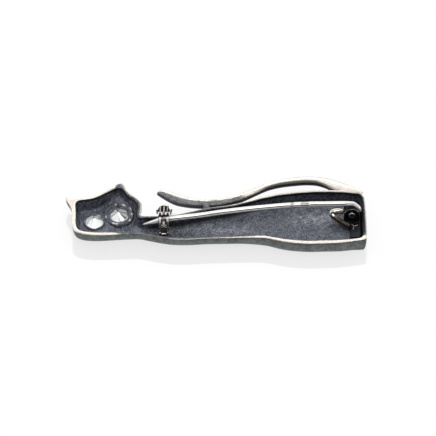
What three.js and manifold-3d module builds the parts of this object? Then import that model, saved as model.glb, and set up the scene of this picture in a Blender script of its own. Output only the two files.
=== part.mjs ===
// Cat brooch, seen and modelled face down: the hollow back is up.
// A cast silver cat (head at -X, rump at +X) with a tail that runs along its
// back, two set crystals for eyes, a riveted pin and a rotating safety catch.
// Frame: millimetres, +Z up, X along the body, origin at the centre of the
// rest plane under the bounding box.
import * as THREE from 'three';
import * as BufferGeometryUtils from 'three/addons/utils/BufferGeometryUtils.js';
import Module from 'manifold-3d';

const wasm = await Module();
wasm.setup();

// ---------------------------------------------------------------- dimensions
const RIM_Z = 3.6;            // height of the rim plane of the shell
const FLOOR = 0.9;            // thickness of the shell's front
const WALL = 0.62;            // thickness of the shell's side walls
const EDGE_IN = 1.1;          // how far the body's front edge rounds in
const HEAD_EDGE_IN = 0.75;    // the same on the head
const EDGE_UP = 1.9;          // how far the front edge rounds up
const SEAM = 0.05;            // gap at a soldered seam

const TAIL_Z0 = 2.6;          // underside of the tail
const TAIL_Z1 = 3.75;         // back of the tail

const EYE_R = 1.75;           // radius of a crystal at its girdle
const EYE_L = [-24.2, -1.05]; // centre of the outer eye
const EYE_R_POS = [-19.3, 0.8];  // centre of the inner eye
const EYE_FIT = 0.08;         // gap round a crystal
const GIRDLE_Z = 1.08;        // height of a crystal's girdle
const EYE_LEAN = [0.05, -0.13]; // how the inner crystal leans, about X and Y

const PIN_R = 0.48;           // radius of the pin wire
const PIN_Y_H = 0.15;         // Y of the pin at the hinge
const PIN_Z_H = 5.12;         // Z of the pin's axis over the hinge
const HINGE_X = 27.0;         // X of the rivet
const HINGE_Z = 3.05;         // Z of the rivet
const EYE_PLATE_R = 1.65;     // radius of the pin's eye plate
const EYE_PLATE_T = 0.9;      // thickness of the eye plate
const RIVET_R = 0.45;         // radius of the rivet's shaft
const CHEEK_T = 0.6;          // thickness of a hinge cheek
const CHEEK_W = 3.1;          // width of a hinge cheek
const CHEEK_GAP = 0.12;       // side play between eye plate and cheek

const CATCH_X = -10.35;       // X of the middle of the catch
const CATCH_Y = -3.85;        // Y of the pin in the catch
const CATCH_Z = 4.55;         // Z of the pin in the catch
const PIN_TIP_X = -14.5;      // X of the pin's point

// ---------------------------------------------------------------- helpers
const V2 = (x, y) => new THREE.Vector2(x, y);
const V3 = (x, y, z) => new THREE.Vector3(x, y, z);

function solid(geometry) {
  const g = geometry.index ? geometry.toNonIndexed() : geometry.clone();
  for (const name of Object.keys(g.attributes)) if (name !== 'position') g.deleteAttribute(name);
  const m = BufferGeometryUtils.mergeVertices(g, 1e-5);
  return new wasm.Manifold(new wasm.Mesh({
    numProp: 3,
    vertProperties: new Float32Array(m.attributes.position.array),
    triVerts: new Uint32Array(m.index.array),
  }));
}

function geometryOf(manifold) {
  const m = manifold.getMesh();
  const g = new THREE.BufferGeometry();
  g.setAttribute('position', new THREE.BufferAttribute(new Float32Array(m.vertProperties), 3));
  g.setIndex(new THREE.BufferAttribute(new Uint32Array(m.triVerts), 1));
  const flat = g.toNonIndexed();
  flat.computeVertexNormals();
  return flat;
}

const group = new THREE.Group();
function piece(name, geometry, color, roughness, metalness) {
  const mesh = new THREE.Mesh(geometry,
    new THREE.MeshStandardMaterial({ color, roughness, metalness }));
  mesh.name = name;
  group.add(mesh);
  return mesh;
}

// A box between two corners.
function block(x0, y0, z0, x1, y1, z1) {
  const g = new THREE.BoxGeometry(x1 - x0, y1 - y0, z1 - z0);
  g.translate((x0 + x1) / 2, (y0 + y1) / 2, (z0 + z1) / 2);
  return g;
}

// A round bar along an axis, centred at c.
function bar(axis, c, r, length, sides = 32) {
  const g = new THREE.CylinderGeometry(r, r, length, sides);
  if (axis === 'x') g.rotateZ(Math.PI / 2);
  if (axis === 'z') g.rotateX(Math.PI / 2);
  g.translate(c[0], c[1], c[2]);
  return g;
}

// Points resampled evenly along straight-ish runs of a curve.
function smooth(points, count) {
  return new THREE.SplineCurve(points.map((p) => V2(p[0], p[1]))).getSpacedPoints(count);
}

function area(points) {
  return THREE.ShapeUtils.area(points);
}

// Moves a closed outline inwards by d, along the bisector of each corner.
function inset(points, d) {
  const n = points.length;
  const sign = area(points) > 0 ? 1 : -1;
  const out = [];
  for (let i = 0; i < n; i++) {
    const a = points[(i + n - 1) % n], b = points[i], c = points[(i + 1) % n];
    const u = b.clone().sub(a).normalize(), v = c.clone().sub(b).normalize();
    const nu = V2(-u.y, u.x), nv = V2(-v.y, v.x);
    const m = nu.clone().add(nv);
    m.normalize();
    const k = Math.max(0.45, m.dot(nu));
    out.push(b.clone().addScaledVector(m, sign * d / k));
  }
  return out;
}

// A prism of an outline from z0 to z1, its lower edge rounded in and up.
function dish(points, z0, z1, edgeIn, edgeUp, steps = 3) {
  const shape = new THREE.Shape(area(points) < 0 ? points.slice().reverse() : points);
  const over = edgeUp + 0.5;
  const g = new THREE.ExtrudeGeometry(shape, {
    depth: z1 - z0 - edgeUp + over - edgeUp, steps: 1, bevelEnabled: true,
    bevelSize: edgeIn, bevelOffset: -edgeIn, bevelThickness: edgeUp, bevelSegments: steps,
  });
  g.translate(0, 0, z0 + edgeUp);
  return solid(g).subtract(solid(block(-50, -50, z1, 50, 50, z1 + 20)));
}

function prism(points, z0, z1) {
  const shape = new THREE.Shape(area(points) < 0 ? points.slice().reverse() : points);
  const g = new THREE.ExtrudeGeometry(shape, { depth: z1 - z0, steps: 1, bevelEnabled: false });
  g.translate(0, 0, z0);
  return solid(g);
}

// ---------------------------------------------------------------- outlines
const bodyNear = [[-19.0, -6.6], [-17.1, -6.85], [-15.2, -6.83], [-13.6, -7.25], [-11.3, -7.87],
  [-8.75, -8.4], [-5.57, -8.4], [-2.19, -8.12], [1.19, -8.01], [6.56, -7.81], [9.88, -7.98],
  [11.65, -8.43], [14.12, -9.08], [17.99, -9.5], [21.27, -9.38], [24.65, -9.19], [28.03, -8.6],
  [29.45, -8.3]];
const bodyEnd = [[29.86, -7.6], [29.92, -4.65], [29.8, -1.0], [29.62, 2.1], [29.35, 4.2]];
const bodyFar = [[28.6, 4.95], [27.2, 5.3], [25.85, 5.44], [22.66, 5.53], [19.28, 5.5], [16.7, 5.25],
  [14.12, 4.95], [10.34, 4.1], [5.57, 2.21], [2.78, 1.31], [-1.79, 0.52], [-5.17, -0.57],
  [-7.95, -1.4], [-11.7, -1.72], [-15.1, -1.75], [-17.6, -1.9]];
const bodyLeft = [[-19.2, -3.2], [-19.6, -5.2]];

const body2D = [
  ...smooth(bodyNear, 44), ...bodyEnd.map((p) => V2(...p)), ...smooth(bodyFar, 40),
  ...bodyLeft.map((p) => V2(...p))];

const headRun1 = [[-28.45, -5.13], [-28.55, -2.23], [-28.67, 0.1], [-29.3, 1.7], [-29.92, 2.9]];
const headEarL = [[-29.8, 3.75], [-28.95, 4.2]];
const headRun2 = [[-28.1, 3.7], [-27.3, 3.42], [-25.25, 3.42], [-23.86, 4.07], [-22.27, 5.19],
  [-20.48, 6.65], [-19.5, 7.2]];
const headEarR = [[-18.85, 7.3], [-18.45, 6.9]];
const headRun3 = [[-18.05, 6.2], [-17.26, 4.71], [-15.67, 3.22], [-14.85, 1.96], [-14.75, 0.36],
  [-15.05, -1.75], [-15.6, -3.9], [-17.2, -5.7], [-19.54, -6.6], [-22.07, -7.11], [-24.55, -7.11],
  [-26.84, -6.6], [-28.0, -5.9]];
const head2D = [
  ...smooth(headRun1, 12), ...headEarL.map((p) => V2(...p)), ...smooth(headRun2, 18),
  ...headEarR.map((p) => V2(...p)), ...smooth(headRun3, 40)];

const pocketHead = smooth([[-27.75, -4.9], [-27.85, -1.5], [-27.95, 1.6], [-27.44, 2.6], [-25.25, 2.75],
  [-23.6, 3.35], [-21.59, 5.0], [-20.22, 5.95], [-19.0, 6.1], [-18.3, 5.2], [-17.6, 3.9], [-16.3, 2.7],
  [-15.6, 1.5], [-15.5, -0.2], [-15.85, -2.0], [-16.5, -3.9], [-17.8, -5.2], [-19.7, -5.85],
  [-22.1, -6.3], [-24.5, -6.3], [-26.5, -5.85], [-27.75, -4.9]], 70).slice(0, -1);
const pocketBody = [
  ...inset(body2D, WALL)];

// ---------------------------------------------------------------- shell castings
const SILVER = 0xd9d4c8, DARK = 0x2b2f36, STEEL = 0xc9c7c2, GLASS = 0xf2f5f7;

const headOuter = dish(head2D, 0, RIM_Z, HEAD_EDGE_IN, EDGE_UP, 4);
const headGrown = prism(inset(head2D, -SEAM), -1, RIM_Z + 1);
const bodyOuter = dish(body2D, 0, RIM_Z, EDGE_IN, EDGE_UP, 4);
const headPocket = dish(pocketHead, FLOOR, RIM_Z + 1, 0.4, 0.6);
const bodyPocket = dish(pocketBody, FLOOR, RIM_Z + 1, 0.4, 0.6);

const eyeHoles = solid(bar('z', [...EYE_L, 0.5], EYE_R + EYE_FIT, 4, 36))
  .add(solid(bar('z', [...EYE_R_POS, 0.5], EYE_R + EYE_FIT, 4, 36)));

const head = headOuter.subtract(headPocket).subtract(bodyPocket).subtract(eyeHoles);
const body = bodyOuter.subtract(headGrown).subtract(bodyPocket);
piece('head_shell', geometryOf(head), DARK, 0.5, 0.9);
piece('body_shell', geometryOf(body), DARK, 0.5, 0.9);

// ---------------------------------------------------------------- tail
const tailFar = [[-11.7, 5.05], [-11.2, 5.75], [-9.4, 5.43], [-8.0, 4.73], [-6.24, 3.83], [-4.4, 3.15],
  [-1.79, 2.93], [0.74, 3.29], [2.78, 3.75], [5.33, 4.98], [7.85, 6.33], [10.34, 7.59], [12.92, 8.55],
  [15.5, 9.15], [17.99, 9.42], [20.48, 9.3], [22.66, 8.9], [25.84, 7.37], [27.53, 6.47], [28.69, 5.68],
  [29.3, 4.9]];
const tailNear = [[29.0, 4.4], [28.0, 4.7], [25.0, 5.0], [23.2, 5.75], [21.7, 6.9], [20.0, 7.72], [17.99, 7.9], [15.5, 7.65],
  [12.92, 7.2], [10.34, 6.3], [7.85, 4.88], [5.33, 3.36], [2.78, 2.28], [0.74, 1.68], [-1.79, 1.5],
  [-5.17, 1.72], [-8.0, 2.4], [-9.54, 3.38], [-11.0, 4.2], [-11.7, 4.75]];
const tail2D = [...smooth(tailFar, 46), ...smooth(tailNear, 46)];
const bodyGrown = prism(inset(body2D, -SEAM), -1, RIM_Z + 5);
const tail = dish(tail2D, TAIL_Z0, TAIL_Z1, 0.25, 0.3, 2).subtract(bodyGrown);
piece('tail', geometryOf(tail), SILVER, 0.3, 0.95);

// Solder bead that joins the tail to the middle of the back.
const bead = new THREE.SphereGeometry(0.62, 16, 10);
bead.scale(1.15, 1, 0.85);
bead.translate(-1.85, 1.05, 3.05);
const tailGrown = prism(inset(tail2D, -SEAM), TAIL_Z0 - 2, TAIL_Z1 + 2);
piece('tail_solder_bead', geometryOf(solid(bead).subtract(bodyGrown).subtract(tailGrown)), SILVER, 0.4, 0.9);


// ---------------------------------------------------------------- eyes
// Setting ring: a plain collar that stands on the floor round the stone.
function collar(c, r, z1) {
  return geometryOf(solid(bar('z', [c[0], c[1], (FLOOR + SEAM + z1) / 2], r, z1 - FLOOR - SEAM, 36))
    .subtract(solid(bar('z', [c[0], c[1], 1], EYE_R + EYE_FIT, 8, 36))));
}
piece('eye_collar_left', collar(EYE_L, EYE_R + 0.4, FLOOR + 0.35), DARK, 0.5, 0.9);
piece('eye_collar_right', collar(EYE_R_POS, EYE_R + 1.15, FLOOR + 0.9), DARK, 0.5, 0.9);

// Round stone: table and crown to the front, pavilion to the back.
function stone(c, lean) {
  const g = new THREE.LatheGeometry([V2(0, -0.58), V2(EYE_R * 0.57, -0.58), V2(EYE_R, -0.04),
    V2(EYE_R, 0.04), V2(0, 1.09)], 16);
  g.rotateX(Math.PI / 2);
  g.rotateY(lean[1]);
  g.rotateX(lean[0]);
  g.translate(c[0], c[1], GIRDLE_Z);
  return geometryOf(solid(g));
}
piece('eye_crystal_left', stone(EYE_L, [0, 0]), GLASS, 0.05, 0.0);
piece('eye_crystal_right', stone(EYE_R_POS, EYE_LEAN), GLASS, 0.05, 0.0);

// ---------------------------------------------------------------- hinge
const EYE_Y0 = PIN_Y_H - EYE_PLATE_T / 2, EYE_Y1 = PIN_Y_H + EYE_PLATE_T / 2;
const NEAR_Y1 = EYE_Y0 - CHEEK_GAP, NEAR_Y0 = NEAR_Y1 - CHEEK_T;
const FAR_Y0 = EYE_Y1 + CHEEK_GAP, FAR_Y1 = FAR_Y0 + CHEEK_T;
const BASE_Z0 = FLOOR + SEAM, BASE_Z1 = BASE_Z0 + 0.3;

piece('hinge_base', geometryOf(solid(block(HINGE_X - 1.55, -1.2, BASE_Z0, HINGE_X + 1.7, FAR_Y1 + 0.3, BASE_Z1))
  .add(solid(block(HINGE_X - 0.45, -5.5, BASE_Z0, HINGE_X + 1.7, -1.1, BASE_Z1 + 0.1)))), DARK, 0.5, 0.9);

// Cheek: a plate with a half-round top, bored for the rivet.
function cheek(y0, y1) {
  const s = new THREE.Shape();
  const r = CHEEK_W / 2, z0 = BASE_Z1 + SEAM - HINGE_Z;
  s.moveTo(-r, z0);
  s.lineTo(r, z0);
  s.lineTo(r, 0);
  s.absarc(0, 0, r, 0, Math.PI, false);
  s.lineTo(-r, z0);
  const g = new THREE.ExtrudeGeometry(s, { depth: y1 - y0, bevelEnabled: false, curveSegments: 18 });
  g.rotateX(Math.PI / 2);
  g.translate(HINGE_X, y1, HINGE_Z);
  return geometryOf(solid(g).subtract(solid(bar('y', [HINGE_X, (y0 + y1) / 2, HINGE_Z], RIVET_R + 0.05, 3, 28))));
}
piece('hinge_cheek_near', cheek(NEAR_Y0, NEAR_Y1), DARK, 0.5, 0.9);
piece('hinge_cheek_far', cheek(FAR_Y0, FAR_Y1), DARK, 0.5, 0.9);

const rivet = solid(bar('y', [HINGE_X, (NEAR_Y0 + FAR_Y1) / 2, HINGE_Z], RIVET_R, FAR_Y1 - NEAR_Y0 + 0.3, 28))
  .add(solid(bar('y', [HINGE_X, NEAR_Y0 - 0.15, HINGE_Z], 0.7, 0.22, 28)))
  .add(solid(bar('y', [HINGE_X, FAR_Y1 + 0.15, HINGE_Z], 0.7, 0.22, 28)));
piece('hinge_rivet', geometryOf(rivet), STEEL, 0.3, 0.95);

// A round wire along points.
function wire(points, r, steps, sides = 10) {
  const s = new THREE.Shape();
  s.absarc(0, 0, r, 0, Math.PI * 2, false);
  const path = new THREE.CatmullRomCurve3(points, false, 'centripetal');
  const outline = new THREE.Shape(s.getPoints(sides).slice(0, -1)
    .filter((p, i, all) => i === 0 || p.distanceTo(all[i - 1]) > 1e-6));
  return [new THREE.ExtrudeGeometry(outline, { steps, extrudePath: path, bevelEnabled: false }), path];
}

// Folded strip in front of the hinge, on which the heel of the pin bears.
const [tongue] = wire([V3(25.15, 0.12, 2.9), V3(23.4, 0.02, 3.0), V3(22.6, -0.2, 2.75), V3(23.4, -0.85, 2.3),
  V3(25.0, -1.95, 1.96), V3(26.5, -3.0, BASE_Z1 + 0.65)], 0.48, 22, 10);
piece('hinge_tongue', geometryOf(solid(tongue)), DARK, 0.5, 0.9);

// ---------------------------------------------------------------- pin
const slope = (PIN_Y_H - CATCH_Y) / (HINGE_X - CATCH_X);
const pinY = (x) => PIN_Y_H - slope * (HINGE_X - x);
const TAPER_X = -11.3;
const [stem, stemPath] = wire([[PIN_TIP_X, 3.7], [CATCH_X - 1.2, 4.35], [CATCH_X, CATCH_Z], [CATCH_X + 1.6, 4.74], [-3.2, 5.05],
  [2.78, 5.6], [9.74, 5.92], [16.7, 5.95], [22.5, 5.5], [25.6, 5.2], [HINGE_X - 0.4, PIN_Z_H + 0.04], [HINGE_X + 0.26, HINGE_Z + 1.98], [HINGE_X + 0.62, HINGE_Z + 1.7],
  [HINGE_X + 0.92, HINGE_Z + 1.42], [HINGE_X + 1.36, HINGE_Z + 0.84], [HINGE_X + 1.54, HINGE_Z + 0.1]]
  .map(([x, z]) => V3(x, pinY(Math.min(x, HINGE_X)), z)), PIN_R, 72, 10);
{
  const centres = stemPath.getSpacedPoints(500);
  const p = stem.attributes.position;
  for (let i = 0; i < p.count; i++) {
    const v = V3(p.getX(i), p.getY(i), p.getZ(i));
    if (v.x > TAPER_X + 1) continue;
    let best = centres[0];
    for (const c of centres) if (c.distanceToSquared(v) < best.distanceToSquared(v)) best = c;
    const t = Math.min(1, Math.max(0, (TAPER_X - best.x) / (TAPER_X - PIN_TIP_X)));
    const k = 1 - 0.85 * Math.pow(t, 1.2);
    v.sub(best).multiplyScalar(k).add(best);
    p.setXYZ(i, v.x, v.y, v.z);
  }
}
const pin = solid(stem)
  .add(solid(bar('y', [HINGE_X, PIN_Y_H, HINGE_Z], EYE_PLATE_R, EYE_PLATE_T, 40)))
  .subtract(solid(bar('y', [HINGE_X, PIN_Y_H, HINGE_Z], RIVET_R + 0.05, 4, 28)));
piece('pin_stem', geometryOf(pin), STEEL, 0.25, 0.95);

// ---------------------------------------------------------------- catch
const C = (dx) => [CATCH_X + dx, CATCH_Y, CATCH_Z];
function slotted(dx, length, outer, inner, slot, sides = 32) {
  return solid(bar('x', C(dx), outer, length, sides))
    .subtract(solid(bar('x', C(dx), inner, length + 1, sides)))
    .subtract(solid(block(CATCH_X + dx - length, CATCH_Y - slot / 2, CATCH_Z, CATCH_X + dx + length,
      CATCH_Y + slot / 2, CATCH_Z + 4)));
}
piece('catch_ring_left', geometryOf(slotted(-0.72, 0.6, 1.5, 1.07, 1.35)), SILVER, 0.35, 0.95);
piece('catch_ring_right', geometryOf(slotted(0.72, 0.6, 1.5, 1.07, 1.35)), SILVER, 0.35, 0.95);
const rotor = solid(bar('x', C(0), 1.0, 2.1, 32)).add(solid(bar('x', C(0), 1.45, 0.68, 32)))
  .subtract(solid(bar('x', C(0), 0.67, 5, 32)))
  .subtract(solid(block(CATCH_X - 3, CATCH_Y - 0.6, CATCH_Z, CATCH_X + 3, CATCH_Y + 0.6, CATCH_Z + 4)));
piece('catch_rotor', geometryOf(rotor), SILVER, 0.3, 0.95);

// Thumb tab: a fluted fan, 45 degrees behind the slot of the rotor, wider than the rings.
{
  const pts = [V2(-0.3, 1.5), V2(0.3, 1.5), V2(0.3, 1.57), V2(1.14, 1.57)];
  const n = 42;
  for (let i = 0; i <= n; i++) {
    const a = THREE.MathUtils.degToRad(98 - 196 * i / n);
    const r = 1.34 + 0.16 * Math.abs(Math.cos(a * 180 / 64));
    pts.push(V2(r * Math.sin(a), 1.66 + r * Math.cos(a)));
  }
  pts.push(V2(-1.14, 1.57), V2(-0.3, 1.57));
  const g = new THREE.ExtrudeGeometry(new THREE.Shape(pts), { depth: 0.5, bevelEnabled: false });
  g.translate(0, 0, -0.25);
  const d = V3(0, Math.SQRT1_2, Math.SQRT1_2), x = V3(1, 0, 0);
  g.applyMatrix4(new THREE.Matrix4().makeBasis(x, d, x.clone().cross(d)));
  g.translate(CATCH_X, CATCH_Y, CATCH_Z);
  piece('catch_tab', geometryOf(solid(g)), SILVER, 0.35, 0.95);
}

// Post under the rings, with a strap along the floor and up the near wall.
const post = solid(block(CATCH_X - 1.0, CATCH_Y - 0.6, FLOOR + SEAM, CATCH_X + 1.0, CATCH_Y + 0.6, CATCH_Z - 1.57));
const strap = solid(block(CATCH_X - 0.45, -6.85, FLOOR + SEAM, CATCH_X + 0.45, CATCH_Y, 1.5))
  .add(solid(block(CATCH_X - 0.45, -7.2, 1.5, CATCH_X + 0.45, -6.75, 3.9)))
  .add(solid(block(CATCH_X - 0.45, -6.9, 1.4, CATCH_X + 0.45, -6.75, 1.6)));
piece('catch_base', geometryOf(post.add(strap)), SILVER, 0.4, 0.9);

export default group;
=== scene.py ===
# Looks of the cat brooch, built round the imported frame. Metres, +Z up, face down.
import math

import bmesh
import bpy
import numpy as np
from mathutils import Matrix, Vector, noise
from mathutils.geometry import delaunay_2d_cdt


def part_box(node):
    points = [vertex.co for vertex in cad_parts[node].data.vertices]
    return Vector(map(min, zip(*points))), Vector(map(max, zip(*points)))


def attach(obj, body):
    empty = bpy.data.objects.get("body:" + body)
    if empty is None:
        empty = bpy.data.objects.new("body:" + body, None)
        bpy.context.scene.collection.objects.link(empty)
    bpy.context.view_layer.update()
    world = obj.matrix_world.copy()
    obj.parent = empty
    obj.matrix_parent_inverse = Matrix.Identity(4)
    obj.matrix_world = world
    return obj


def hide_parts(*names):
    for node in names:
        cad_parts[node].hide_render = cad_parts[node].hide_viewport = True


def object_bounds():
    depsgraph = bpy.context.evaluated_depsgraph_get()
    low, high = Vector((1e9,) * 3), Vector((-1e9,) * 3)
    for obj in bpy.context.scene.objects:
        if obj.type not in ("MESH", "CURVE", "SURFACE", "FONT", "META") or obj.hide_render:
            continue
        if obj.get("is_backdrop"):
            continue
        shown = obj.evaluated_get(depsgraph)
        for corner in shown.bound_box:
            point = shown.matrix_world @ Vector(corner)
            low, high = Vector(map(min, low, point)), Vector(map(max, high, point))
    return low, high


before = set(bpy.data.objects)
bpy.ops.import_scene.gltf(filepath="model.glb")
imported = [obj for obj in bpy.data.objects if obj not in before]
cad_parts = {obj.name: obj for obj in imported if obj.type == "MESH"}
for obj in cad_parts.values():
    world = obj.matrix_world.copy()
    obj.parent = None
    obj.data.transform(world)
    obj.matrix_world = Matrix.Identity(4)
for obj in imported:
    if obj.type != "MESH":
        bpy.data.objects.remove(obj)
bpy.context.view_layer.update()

MM = 0.001
RIM = 3.6          # rim plane, mm
FLOOR = 0.9        # inside of the front, mm
EYE_L = (-24.2, -1.05)
EYE_R = (-19.3, 0.8)
STONE_R = 1.75
HINGE = (27.0, 0.15, 3.05)
CATCH = (-10.35, -3.85, 4.55)


# ------------------------------------------------------------------ geometry helpers (all in mm)
def crom(points, count, closed=False):
    """Evenly spaced points on a Catmull-Rom curve through the given ones."""
    p = np.array(points, float)
    n = len(p)
    dense = []
    spans = n if closed else n - 1
    for i in range(spans):
        if closed:
            a, b, c, d = (p[(i + k) % n] for k in (-1, 0, 1, 2))
        else:
            b, c = p[i], p[i + 1]
            a = p[i - 1] if i else 2 * b - c
            d = p[i + 2] if i + 2 < n else 2 * c - b
        ta = 0.0
        tb = ta + max(1e-6, np.linalg.norm(b - a) ** 0.5)
        tc = tb + max(1e-6, np.linalg.norm(c - b) ** 0.5)
        td = tc + max(1e-6, np.linalg.norm(d - c) ** 0.5)
        for t in np.linspace(tb, tc, 24, endpoint=False):
            a1 = (tb - t) / (tb - ta) * a + (t - ta) / (tb - ta) * b
            a2 = (tc - t) / (tc - tb) * b + (t - tb) / (tc - tb) * c
            a3 = (td - t) / (td - tc) * c + (t - tc) / (td - tc) * d
            b1 = (tc - t) / (tc - ta) * a1 + (t - ta) / (tc - ta) * a2
            b2 = (td - t) / (td - tb) * a2 + (t - tb) / (td - tb) * a3
            dense.append((tc - t) / (tc - tb) * b1 + (t - tb) / (tc - tb) * b2)
    dense.append(p[0] if closed else p[-1])
    dense = np.array(dense)
    s = np.concatenate([[0], np.cumsum(np.linalg.norm(np.diff(dense, axis=0), axis=1))])
    u = np.linspace(0, s[-1], count, endpoint=not closed)
    return np.stack([np.interp(u, s, dense[:, k]) for k in range(p.shape[1])], axis=1)


def inset(loop, d):
    """A counter-clockwise closed loop moved inwards by d (a number or one per point)."""
    prev, nxt = np.roll(loop, 1, axis=0), np.roll(loop, -1, axis=0)
    t = nxt - prev
    t /= np.linalg.norm(t, axis=1)[:, None]
    n = np.stack([-t[:, 1], t[:, 0]], axis=1)
    return loop + n * (np.ones(len(loop)) * d)[:, None]


def distance(points, loop):
    """Distance of each point to a closed loop."""
    a, b = loop, np.roll(loop, -1, axis=0)
    ab = b - a
    out = np.empty(len(points))
    for i in range(0, len(points), 2000):
        p = points[i:i + 2000, None, :]
        t = np.clip(((p - a) * ab).sum(2) / (ab ** 2).sum(1), 0, 1)
        out[i:i + 2000] = np.sqrt((((a + t[..., None] * ab) - p) ** 2).sum(2)).min(1)
    return out


def inside(points, loop):
    """Whether each point is inside a closed loop."""
    x, y = points[:, 0:1], points[:, 1:2]
    a, b = loop, np.roll(loop, -1, axis=0)
    cross = (a[:, 1] > y) != (b[:, 1] > y)
    at = a[:, 0] + (y - a[:, 1]) / np.where(b[:, 1] == a[:, 1], 1e-12, b[:, 1] - a[:, 1]) * (b[:, 0] - a[:, 0])
    return (cross & (x < at)).sum(1) % 2 == 1


def circle(c, r, n):
    t = np.arange(n) * 2 * math.pi / n
    return np.stack([c[0] + r * np.cos(t), c[1] + r * np.sin(t)], axis=1)


def fill(outer, holes, extra):
    """Triangles between an outer loop and holes, through the extra points."""
    coords, edges = [], []
    for loop in [outer, *holes]:
        k = len(coords)
        coords += [Vector(p) for p in loop]
        edges += [(k + i, k + (i + 1) % len(loop)) for i in range(len(loop))]
    coords += [Vector(p) for p in extra]
    verts, _, faces, *_ = delaunay_2d_cdt(coords, edges, [], 0, 1e-7)
    v = np.array([tuple(p) for p in verts])
    f = np.array([list(t) for t in faces if len(t) == 3])
    mid = v[f].mean(1)
    keep = inside(mid, outer)
    for h in holes:
        keep &= ~inside(mid, h)
    return v, f[keep]


def grid(loop, step, margin, holes=()):
    """Staggered points inside a loop, at least margin from it."""
    lo, hi = loop.min(0), loop.max(0)
    rows = []
    y, odd = lo[1], 0
    while y < hi[1]:
        x = np.arange(lo[0] + (step / 2 if odd else 0), hi[0], step)
        rows.append(np.stack([x, np.full(len(x), y)], axis=1))
        y, odd = y + step * 0.866, 1 - odd
    p = np.concatenate(rows)
    p = p[inside(p, loop)]
    p = p[distance(p, loop) > margin]
    for h in holes:
        p = p[~inside(p, h)]
        p = p[distance(p, h) > step * 0.5]
    return p


def rings(loop, depths, holes=(), clear=0.12):
    """Points on lines at the given depths inside a loop, dropped where another stretch is nearer."""
    out = []
    for d in depths:
        p = inset(loop, d)
        ok = inside(p, loop) & (np.abs(distance(p, loop) - d) < 0.03)
        for h in holes:
            ok &= ~inside(p, h) & (distance(p, h) > clear)
        out.append(p[ok])
    return np.concatenate(out) if out else np.zeros((0, 2))


def wob(x, y, z=0.0, scale=1.0, seed=0.0):
    return noise.noise(Vector((x * scale + seed * 17.3, y * scale - seed * 5.1, z * scale + seed)))


class Build:
    """Collects faces in mm, then makes one clean object in metres."""

    def __init__(self):
        self.v, self.f = [], []

    def add(self, verts, faces):
        k = len(self.v)
        self.v += [tuple(float(c) for c in p) for p in verts]
        self.f += [tuple(int(i) + k for i in f) for f in faces]

    def strip(self, loops, closed=True, flip=False):
        """Quads between successive loops of the same length."""
        n = len(loops[0])
        verts = np.concatenate(loops)
        faces = []
        for r in range(len(loops) - 1):
            for i in range(n if closed else n - 1):
                j = (i + 1) % n
                q = (r * n + i, r * n + j, (r + 1) * n + j, (r + 1) * n + i)
                faces.append(q[::-1] if flip else q)
        self.add(verts, faces)

    def make(self, name, merge=1e-4, smooth=True):
        me = bpy.data.meshes.new(name)
        me.from_pydata([(x * MM, y * MM, z * MM) for x, y, z in self.v], [], self.f)
        bm = bmesh.new()
        bm.from_mesh(me)
        bmesh.ops.remove_doubles(bm, verts=bm.verts, dist=merge * MM)
        bmesh.ops.dissolve_degenerate(bm, dist=1e-5 * MM, edges=bm.edges)
        bmesh.ops.recalc_face_normals(bm, faces=bm.faces)
        for f in bm.faces:
            f.smooth = smooth
        bm.to_mesh(me)
        bm.free()
        ob = bpy.data.objects.new(name, me)
        bpy.context.scene.collection.objects.link(ob)
        return ob


def snap(v, z, loop3):
    """3-D points of a filled region: heights z, and exactly the given loop's points along its edge."""
    out = np.concatenate([v, np.asarray(z)[:, None]], axis=1)
    for i in range(0, len(v), 2000):
        d = np.hypot(v[i:i + 2000, None, 0] - loop3[None, :, 0], v[i:i + 2000, None, 1] - loop3[None, :, 1])
        k = d.argmin(1)
        near = d[np.arange(len(k)), k] < 2e-4
        rows = np.arange(i, i + len(k))[near]
        out[rows] = loop3[k[near]]
    return out


def z3(loop, z):
    return np.concatenate([loop, (np.ones(len(loop)) * z)[:, None]], axis=1)


def plain(value=0.0):
    return lambda co, no: np.full(len(co), value)


def set_attr(ob, name, fn):
    """A float per vertex, from a function of its place in mm."""
    me = ob.data
    a = me.attributes.new(name, "FLOAT", "POINT")
    co = np.empty(len(me.vertices) * 3)
    me.vertices.foreach_get("co", co)
    co = co.reshape(-1, 3) / MM
    no = np.empty(len(me.vertices) * 3)
    me.vertices.foreach_get("normal", no)
    a.data.foreach_set("value", np.clip(np.array(fn(co, no.reshape(-1, 3)), float), 0, 1))


def ss(x, a, b):
    """Smooth step from a to b."""
    t = np.clip((np.asarray(x, float) - a) / (b - a), 0, 1)
    return t * t * (3 - 2 * t)


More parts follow.
